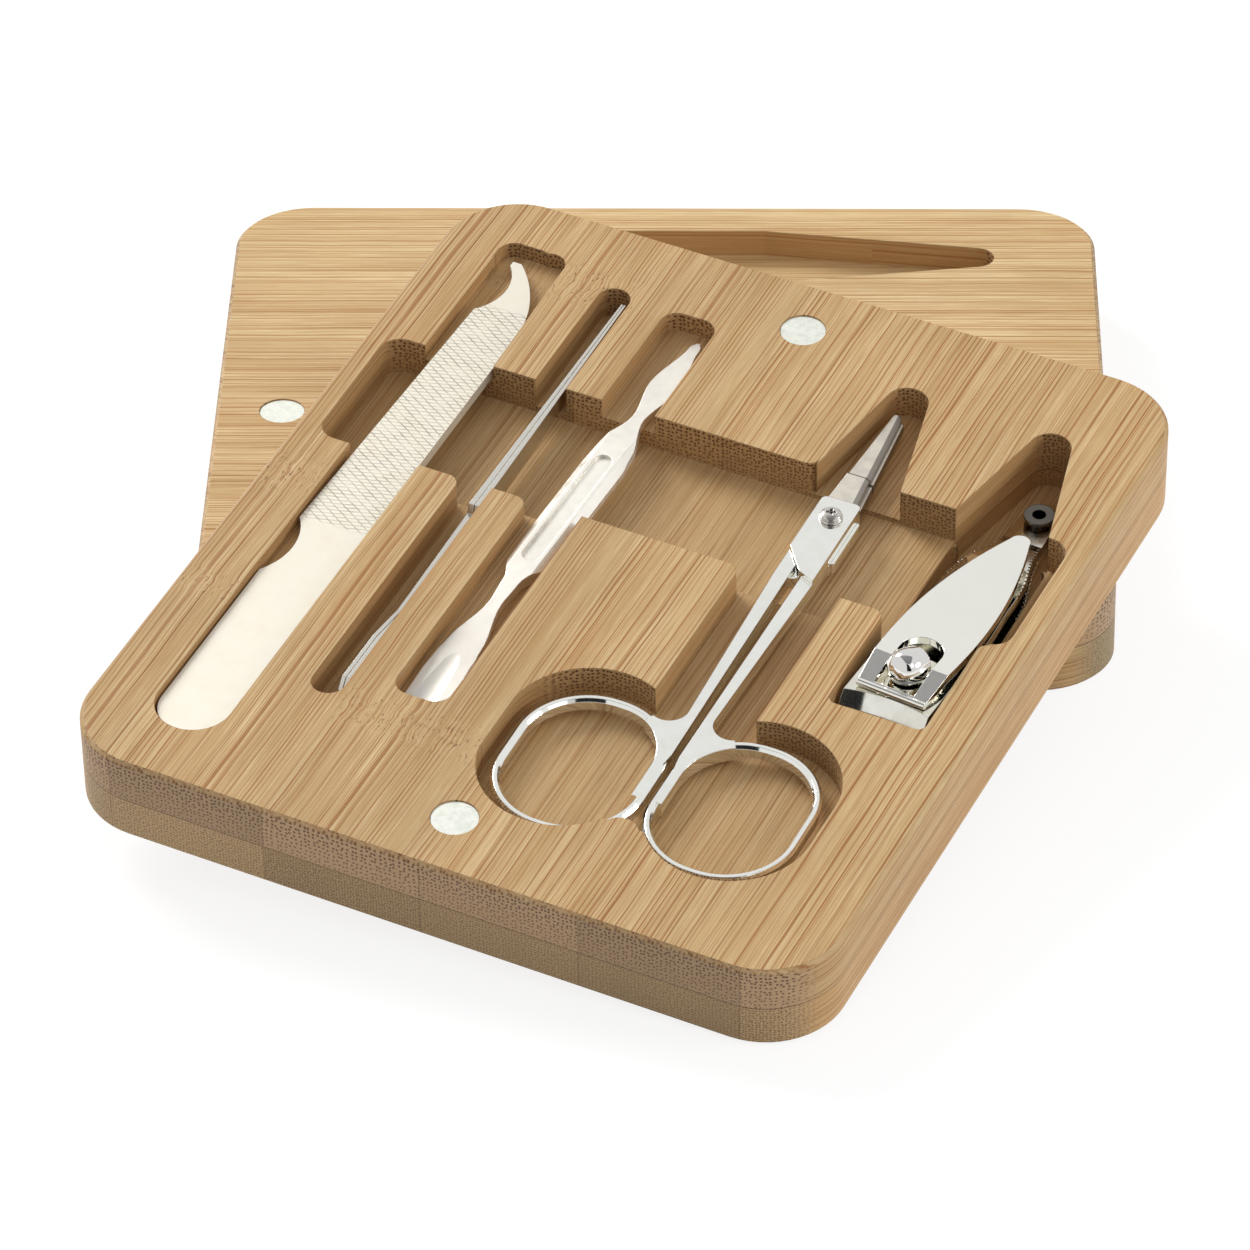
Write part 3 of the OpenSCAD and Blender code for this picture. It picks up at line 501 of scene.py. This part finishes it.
def metal(name, colour, rough, cloud, relief=0.0, scale=500.0):
    """Plated steel with faint cloudy wear and, if asked, a fine relief."""
    n = Nodes(name)
    speck = n.noise(n.place, scale, 4.0, 0.6)
    patch = n.noise(n.place, 90.0, 3.0, 0.6)
    worn = tuple(c * (1 - cloud) for c in colour[:3]) + (1.0,)
    roughness = (n.span(speck, 0.3, 0.7, 0.85, 1.15)
                 * n.span(patch, 0.35, 0.65, rough * 0.85, rough * 1.2))
    rounded = n.rounded(METAL_ROUNDING)
    return n.shade({"Metallic": 1.0, "Roughness": roughness,
                    "Base Color": n.mix(n.span(patch, 0.35, 0.65), colour, worn),
                    "Normal": n.bump(speck, relief, 0.6, rounded) if relief else rounded})


# Frame of the clipper, in millimetres on the tray: its post's axis at the pocket's floor,
# its turn in degrees, and the height of the magnets' middles that TRAY_MIDDLE is at
CLIPPER_PLACE = (39.35, -2.8, 3.5)
CLIPPER_TURN = -1.9
TRAY_MAGNET_Z = 11.35


def clipper_matrix():
    """Turns millimetres in the clipper's own frame into metres in the scene."""
    x, y, z = CLIPPER_PLACE
    place = TRAY_MIDDLE + (TRAY_ACROSS * x + TRAY_ALONG * y + TRAY_UP * (z - TRAY_MAGNET_Z)) * MM
    turn = Matrix((TRAY_ACROSS, TRAY_ALONG, TRAY_UP)).transposed().to_4x4()
    spin = Matrix.Rotation(math.radians(CLIPPER_TURN), 4, "Z")
    return Matrix.Translation(place) @ turn @ spin @ Matrix.Scale(MM, 4)


# Upper leaf: where its left side and its tail start to fall away
LEAF_LEFT_FROM = -0.3
LEAF_TAIL_FROM = 32.5


def leaf_steel(name):
    """Bright plate whose left side and tail fall away and mirror the pocket's walls."""
    n = Nodes(name)
    matrix = clipper_matrix()
    x, y = n.mm_along(matrix.translation, *(matrix.col[i].to_3d().normalized() for i in (0, 1)))
    left = n.least(x - LEAF_LEFT_FROM, 0.0)
    tail = n.most(y - LEAF_TAIL_FROM, 0.0)
    height = left * left * n.span(y, 8.0, 16.0, 0.0, -0.06) + tail * -0.2
    patch = n.noise(n.place, 300.0, 3.0, 0.6)
    return n.shade({"Metallic": 1.0, "Roughness": n.span(patch, 0.3, 0.7, 0.06, 0.14),
                    "Base Color": n.mix(n.span(patch, 0.3, 0.7), rgb(250, 249, 240),
                                        rgb(232, 228, 216)),
                    "Normal": n.bump(height, MM, 1.0, n.rounded(LEAF_ROUNDING))})


# The file's cut: where it starts and ends along the tray, and two sets of lines across
# the blade, as (angle from square, pitch, part of the pitch where a line's painted shade
# starts, part where it is darkest)
FILE_CUT = (-8.8, 38.8)
FILE_CUT_EDGE = 0.3
FILE_COARSE = (-31.8, 1.03, 0.78, 0.90)
FILE_FINE = (16.8, 0.645, 0.55, 0.88)
FILE_RELIEF = 0.00009


def file_steel(name):
    """Matte plated steel with the file's crossed cut pressed into it, and painted shade in the
    cut's grooves.
    """
    n = Nodes(name)
    u, v, w = local_mm(n, TRAY)
    near, far = FILE_CUT
    cut = (n.span(v, near - FILE_CUT_EDGE, near + FILE_CUT_EDGE)
           * n.span(v, far + FILE_CUT_EDGE, far - FILE_CUT_EDGE)
           * n.facing(TRAY_UP, 0.7, 0.95))
    waver = (n.noise(n.join(u, v, 0.0), 0.35) - 0.5) * 0.35

    def teeth(angle, pitch, dark_from, darkest):
        lean = math.radians(angle)
        saw = n.math("FRACT", (u * -math.sin(lean) + v * math.cos(lean) + waver) / pitch)
        return saw, n.span(saw, dark_from, darkest) * n.span(saw, 1.0, 0.92)

    coarse_saw, coarse = teeth(*FILE_COARSE)
    fine_saw, fine = teeth(*FILE_FINE)
    uneven = n.span(n.noise(n.join(u, v, 4.0), 0.5), 0.35, 0.65, 0.45, 1.0)
    patch = n.noise(n.join(u, v, w), 0.25, 3.0)
    grit = n.noise(n.join(u, v, w), 9.0, 3.0)
    plate = n.mix(n.span(patch, 0.3, 0.7), rgb(240, 235, 222), rgb(230, 224, 208))
    # Painted shade on the dark side of each line of the cut
    groove_shade = cut * (uneven * n.most(coarse * 0.80, fine * 0.55))
    height = cut * (coarse_saw * 0.5 + fine_saw * 0.5) + grit * 0.12
    return n.shade({"Metallic": 0.75, "Roughness": n.span(patch, 0.3, 0.7, 0.40, 0.52),
                    "Base Color": n.mix(groove_shade, plate, rgb(92, 82, 66)),
                    "Normal": n.bump(height, FILE_RELIEF, 0.6)})


MAGNET_RELIEF = 0.00003


def magnet_steel(name):
    """Nickel plated disc, slightly mottled by handling."""
    n = Nodes(name)
    mottle = n.noise(n.place, 900.0, 4.0, 0.65)
    return n.shade({"Metallic": 0.8, "Roughness": n.span(mottle, 0.3, 0.7, 0.34, 0.55),
                    "Base Color": n.mix(n.span(mottle, 0.38, 0.62), rgb(250, 251, 242),
                                        rgb(222, 226, 216)),
                    "Normal": n.bump(mottle, MAGNET_RELIEF, 0.6)})


# Scissors: their turn on the tray in degrees, and how far ahead of the screw the matte
# blade starts and has its step
SCISSORS_TURN = 0.8
BLADE_FROM = 3.75
BLADE_STEP = 9.5


def scissors_steel(name):
    """Polished handles and block; satin blades with marks of grinding across them."""
    n = Nodes(name)
    turn = Matrix.Rotation(math.radians(SCISSORS_TURN), 3, TRAY_UP)
    across = turn @ TRAY_ACROSS
    x, y = n.mm_along(joint("scissors_open")["pos_m"], across, turn @ TRAY_ALONG)
    blade = n.span(y, BLADE_FROM - 0.1, BLADE_FROM + 0.1)
    grind = n.noise(n.join(x * 0.8, y * 7.0, 0.0), detail=3.0, rough=0.6)
    patch = n.noise(n.join(x, y, 0.0), 0.35, 3.0, 0.6)
    patches = n.span(patch, 0.3, 0.7)
    # Painted shade on the faces turned to the cutting side, where the bevel is ground, and a
    # painted shadow along the step across the blade
    bevel_shade = n.span(n.dot(n.normal, across), 0.25, 0.45)
    step_shadow = n.span(abs(y - BLADE_STEP), 0.18, 0.32, 1.0, 0.0)
    blade_colour = n.coats(n.mix(patches, rgb(240, 233, 219), rgb(210, 203, 192)),
                           (bevel_shade * 0.85, rgb(138, 134, 128)), (step_shadow * 0.95, rgb(70, 62, 54)))
    plate_colour = n.mix(patches, rgb(253, 253, 248), rgb(246, 246, 240))
    polish = n.span(patch, 0.3, 0.7, 0.05, 0.10)
    satin = n.span(grind, 0.3, 0.7, 0.32, 0.46)
    return n.shade({"Metallic": 1.0, "Roughness": n.between(blade, polish, satin),
                    "Base Color": n.mix(blade, plate_colour, blade_colour),
                    "Normal": n.bump(grind * blade, SATIN_RELIEF, 0.5,
                                     n.rounded(METAL_ROUNDING))})


def dress(obj, material, sharp_degrees=30.0):
    """Gives an object one material, and smooth faces between its sharp edges."""
    obj.data.materials.clear()
    obj.data.materials.append(material)
    for polygon in obj.data.polygons:
        polygon.use_smooth = True
    obj.data.set_sharp_from_angle(angle=math.radians(sharp_degrees))


# The clipper's post, in the clipper's own frame: a foot plate, a neck, and a bullet of a
# head that swings and leans by so many degrees and is cut off where the lever's hole is
POST_D = 3.2
POST_FOOT_OVER = 0.7
POST_FOOT_T = 0.6
POST_TOP = 9.2
POST_SIDES = 64
HEAD_D = 5.0
HEAD_L = 4.0
HEAD_LOW = 8.14
HEAD_PLACE = (0.5, 1.0, 8.9)
HEAD_SWING = -12
HEAD_LEAN = 64
# The head's nose: its steps, the share of the head's radius that is left at its tip,
# where it starts along the head, and its length
NOSE_STEPS = 12
NOSE_TIP = 0.36
NOSE_FROM = 1.3
NOSE_L = 2.6


def lathe(bm, profile, matrix):
    """Turns a profile of (radius, height) around the matrix's own z."""
    rings = []
    for r, z in profile:
        if r == 0:
            rings.append([bm.verts.new(matrix @ Vector((0, 0, z)))])
        else:
            rings.append([bm.verts.new(matrix @ Vector((r * math.cos(a), r * math.sin(a), z)))
                          for a in (math.tau * i / POST_SIDES for i in range(POST_SIDES))])
    for low, high in zip(rings, rings[1:]):
        for i in range(POST_SIDES):
            a, b = low[i % len(low)], low[(i + 1) % len(low)]
            c, d = high[(i + 1) % len(high)], high[i % len(high)]
            face = list(dict.fromkeys((a, b, c, d)))
            if len(face) > 2:
                bm.faces.new(face)


def post_piece(material):
    """The clipper's post with a smooth bullet-shaped head that leans towards the jaws."""
    bm = bmesh.new()
    r = HEAD_D / 2
    bullet = [(0, 0), (r * 0.96, 0), (r, 0.1), (r, 0.35)]
    for i in range(1, NOSE_STEPS + 1):
        turn = i / NOSE_STEPS * math.pi / 2
        bullet.append((r * (NOSE_TIP + (1 - NOSE_TIP) * math.cos(turn) ** 0.8),
                       NOSE_FROM + NOSE_L * math.sin(turn) ** 1.1))
    bullet += [(r * 0.28, HEAD_L - 0.03), (r * 0.16, HEAD_L), (0, HEAD_L)]
    lathe(bm, bullet, Matrix.Translation(HEAD_PLACE)
          @ Matrix.Rotation(math.radians(HEAD_SWING), 4, "Z")
          @ Matrix.Rotation(math.radians(HEAD_LEAN), 4, "X"))
    cut = bmesh.ops.bisect_plane(bm, geom=bm.verts[:] + bm.edges[:] + bm.faces[:],
                                 plane_co=(0, 0, HEAD_LOW), plane_no=(0, 0, -1),
                                 clear_outer=True)
    rim = [e for e in cut["geom_cut"] if isinstance(e, bmesh.types.BMEdge)]
    bmesh.ops.edgeloop_fill(bm, edges=rim)
    neck = POST_D / 2
    foot = neck + POST_FOOT_OVER
    lathe(bm, [(0, 0), (foot, 0), (foot, POST_FOOT_T), (neck, POST_FOOT_T), (neck, POST_TOP),
               (0, POST_TOP)], Matrix.Identity(4))
    bmesh.ops.transform(bm, matrix=clipper_matrix(), verts=bm.verts)
    bmesh.ops.recalc_face_normals(bm, faces=bm.faces)
    mesh = bpy.data.meshes.new("clipper_post_round")
    bm.to_mesh(mesh)
    bm.free()
    post = link("clipper_post_round", mesh)
    dress(post, material, 40.0)
    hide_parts("clipper_post")
    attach(post, "clipper")


# The lid's recess: its middle line and half width across the lid, the stretch along it
# where both sides run straight on, its floor, and the lid's top
RECESS_MIDDLE = 38.1
RECESS_HALF = 7.1
RECESS_STRAIGHT = (11.0, 13.9)
RECESS_FLOOR = 8.5
LID_TOP = 12.5


def box_between(name, low, high):
    """A box between two corners."""
    bm = bmesh.new()
    bmesh.ops.create_cube(bm, size=1.0)
    for vert in bm.verts:
        vert.co = [low[i] if vert.co[i] < 0 else high[i] for i in range(3)]
    mesh = bpy.data.meshes.new(name)
    bm.to_mesh(mesh)
    bm.free()
    return link(name, mesh)


def lid_board(material):
    """The lid's upper ply with the recess's sides running on straight to its taper."""
    mesh = NODES["lid_upper_ply"].data.copy()
    mesh.name = "lid_upper_board"
    bm = bmesh.new()
    bm.from_mesh(mesh)
    bmesh.ops.remove_doubles(bm, verts=bm.verts, dist=1e-7)
    bm.to_mesh(mesh)
    bm.free()
    board = link("lid_upper_board", mesh)
    low = Vector((RECESS_STRAIGHT[0], RECESS_MIDDLE - RECESS_HALF, RECESS_FLOOR)) * MM
    high = Vector((RECESS_STRAIGHT[1], RECESS_MIDDLE + RECESS_HALF, LID_TOP + 1)) * MM
    cut = box_between("recess_cut", low, high)
    carve = board.modifiers.new("carve", "BOOLEAN")
    carve.operation = "DIFFERENCE"
    carve.object = cut
    carve.solver = "EXACT"
    graph = bpy.context.evaluated_depsgraph_get()
    result = bpy.data.meshes.new_from_object(board.evaluated_get(graph))
    board.modifiers.clear()
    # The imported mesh's own normals don't fit the faces that the cut has changed
    if "custom_normal" in result.attributes:
        result.attributes.remove(result.attributes["custom_normal"])
    board.data = result
    bpy.data.objects.remove(cut)
    dress(board, material)
    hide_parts("lid_upper_ply")
    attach(board, "lid")


# Lamps: place, aim, width and height, power and colour
LAMPS = {
    "key": ((-0.75, 0.75, 0.85), (0, -0.05, 0), (0.55, 0.55), 13.0, (1.0, 0.985, 0.96)),
    "fill": ((0.6, -0.9, 0.8), (0, -0.05, 0), (0.9, 0.6), 1.0, (1, 1, 1)),
    "side": ((1.2, -0.25, 0.42), (0.05, -0.05, 0), (0.5, 0.3), 5.0, (1, 1, 1)),
}


def make_lights():
    for name, (place, aim, size, power, colour) in LAMPS.items():
        data = bpy.data.lights.new(name, "AREA")
        data.shape = "RECTANGLE"
        data.size, data.size_y = size
        data.energy = power
        data.color = colour
        lamp = link(name, data)
        lamp.location = place
        lamp.rotation_euler = (Vector(aim) - Vector(place)).to_track_quat("-Z", "Y").to_euler()


def new_node(tree, kind, inputs=None):
    node = tree.nodes.new(kind)
    for key, value in (inputs or {}).items():
        node.inputs[key].default_value = value
    return node


def grey(level):
    """An even grey as a colour."""
    return (level, level, level, 1)


def shown_rays(tree):
    """1 for rays that show the surroundings: to the camera, mirrored or let through."""
    path = new_node(tree, "ShaderNodeLightPath")
    most = path.outputs["Is Camera Ray"]
    for name in ("Is Glossy Ray", "Is Transmission Ray"):
        node = new_node(tree, "ShaderNodeMath")
        node.operation = "MAXIMUM"
        tree.links.new(most, node.inputs[0])
        tree.links.new(path.outputs[name], node.inputs[1])
        most = node.outputs[0]
    return most


def light_and_shown(tree, out_kind, light, shown):
    """Lights the object by one shader, and shows the other to camera and mirrored rays."""
    mix = new_node(tree, "ShaderNodeMixShader")
    out = new_node(tree, out_kind)
    tree.links.new(shown_rays(tree), mix.inputs[0])
    tree.links.new(light.outputs[0], mix.inputs[1])
    tree.links.new(shown.outputs[0], mix.inputs[2])
    tree.links.new(mix.outputs[0], out.inputs[0])


def empty_tree(owner):
    owner.use_nodes = True
    owner.node_tree.nodes.clear()
    return owner.node_tree


WORLD_SOFT = 0.54
WORLD_SHOWN = 0.8


def make_world():
    world = bpy.data.worlds.new("studio")
    bpy.context.scene.world = world
    tree = empty_tree(world)
    soft = new_node(tree, "ShaderNodeBackground", {"Color": grey(1), "Strength": WORLD_SOFT})
    shown = new_node(tree, "ShaderNodeBackground", {"Color": grey(WORLD_SHOWN), "Strength": 1})
    light_and_shown(tree, "ShaderNodeOutputWorld", soft, shown)


def panel(name, corners, material):
    mesh = bpy.data.meshes.new(name)
    mesh.from_pydata(corners, [], [(0, 1, 2, 3)])
    mesh.materials.append(material)
    obj = link(name, mesh)
    return obj


# The floor lights the object as pale paper does. What shows of it is a glow and a darker
# paper under it, which are white together and keep a soft shadow.
FLOOR_HALF = 3.0
FLOOR_Z = -0.0001
FLOOR_PAPER = 0.82
FLOOR_SHADOW = 0.22
FLOOR_GLOW = 0.84


def make_floor():
    material = bpy.data.materials.new("floor_paper")
    tree = empty_tree(material)
    paper = new_node(tree, "ShaderNodeBsdfDiffuse", {"Color": grey(FLOOR_PAPER)})
    shadow = new_node(tree, "ShaderNodeBsdfDiffuse", {"Color": grey(FLOOR_SHADOW)})
    glow = new_node(tree, "ShaderNodeEmission", {"Strength": FLOOR_GLOW})
    both = new_node(tree, "ShaderNodeAddShader")
    tree.links.new(shadow.outputs[0], both.inputs[0])
    tree.links.new(glow.outputs[0], both.inputs[1])
    light_and_shown(tree, "ShaderNodeOutputMaterial", paper, both)
    panel("floor", [(-FLOOR_HALF, -FLOOR_HALF, FLOOR_Z), (FLOOR_HALF, -FLOOR_HALF, FLOOR_Z),
                    (FLOOR_HALF, FLOOR_HALF, FLOOR_Z), (-FLOOR_HALF, FLOOR_HALF, FLOOR_Z)],
          material)


# A grey card overhead and a dark one in front, seen only in polished metal: how light
# each is, and its corners. Both are a little blue.
CARD_BLUE = 1.05
CARDS = {
    "card_over": (0.30, [(-0.8, -1.2, 1.25), (0.8, -1.2, 1.25), (0.8, 0.42, 1.25),
                         (-0.8, 0.42, 1.25)]),
    "card_front": (0.02, [(-0.6, -1.2, 0.2), (0.6, -1.2, 0.2), (0.6, -1.2, 1.1),
                          (-0.6, -1.2, 1.1)]),
}


def make_cards():
    for name, (level, corners) in CARDS.items():
        material = bpy.data.materials.new(name)
        tree = empty_tree(material)
        colour = (level, level, level * CARD_BLUE, 1)
        card = new_node(tree, "ShaderNodeBsdfDiffuse", {"Color": colour})
        out = new_node(tree, "ShaderNodeOutputMaterial")
        tree.links.new(card.outputs[0], out.inputs[0])
        obj = panel(name, corners, material)
        for kind in ("camera", "diffuse", "shadow", "transmission", "volume_scatter"):
            setattr(obj, "visible_" + kind, False)


bpy.context.scene.view_settings.view_transform = "Standard"
make_camera()
make_lights()
make_world()
make_floor()
make_cards()

# Bamboo of each ply: its board, seed, whether it is the under one, its knuckles, tone,
# tones of its strips' ends, and tint
LID_TINT = (0.99, 1.07, 1.13)
PLIES = {
    "lid_upper_ply": (LID, 1, 0, LID_KNUCKLES, 1.03, None, LID_TINT),
    "lid_lower_ply": (LID, 2, 1, (), 0.98, None, LID_TINT),
    "base_upper_ply": (TRAY, 3, 0, TRAY_KNUCKLES, 0.91, (0.75, 0.1, 0.88, 0.45, 0.0, 0.6),
                       (0.975, 1.0, 1.01)),
    "base_lower_ply": (TRAY, 4, 1, (), 0.95, (0.9, 1.0, 0.35, 0.45, 0.3, 0.8), (1, 1, 1)),
}
for node, look in PLIES.items():
    dress(NODES[node], bamboo(node + "_bamboo", *look))
lid_board(NODES["lid_upper_ply"].data.materials[0])

satin = metal("satin_steel", rgb(248, 244, 235), rough=0.50, cloud=0.14,
              relief=SATIN_RELIEF, scale=700.0)
arm = metal("tweezer_satin", rgb(226, 223, 214), rough=0.22, cloud=0.08,
            relief=SATIN_RELIEF, scale=700.0)
plated = metal("bright_plate", rgb(253, 252, 244), rough=0.045, cloud=0.03)
handles = scissors_steel("scissors_plate")
METALS = {
    "nail_file": file_steel("file_plate"), "cuticle_pusher": satin,
    "tweezer_arm_left": arm, "tweezer_arm_right": arm,
    "scissors_lower_half": handles, "scissors_upper_half": handles,
    "scissors_screw": metal("screw_nickel", rgb(214, 210, 204), rough=0.22, cloud=0.12),
    "clipper_lower_leaf": plated, "clipper_upper_leaf": leaf_steel("leaf_plate"),
    "clipper_post": plated, "clipper_lever": plated,
    # The eyelet's dark colour is painted shade of the deep pocket that it lies in
    "clipper_eyelet": metal("shaded_eyelet_nickel", rgb(112, 106, 98), rough=0.18, cloud=0.25),
}
for node in ("lid_magnet_left", "lid_magnet_right", "base_magnet_near", "base_magnet_far"):
    METALS[node] = magnet_steel(node + "_nickel")
for node, material in METALS.items():
    dress(NODES[node], material, 50.0 if node == "scissors_screw" else 30.0)
post_piece(metal("post_plate", rgb(236, 235, 232), rough=0.04, cloud=0.03))
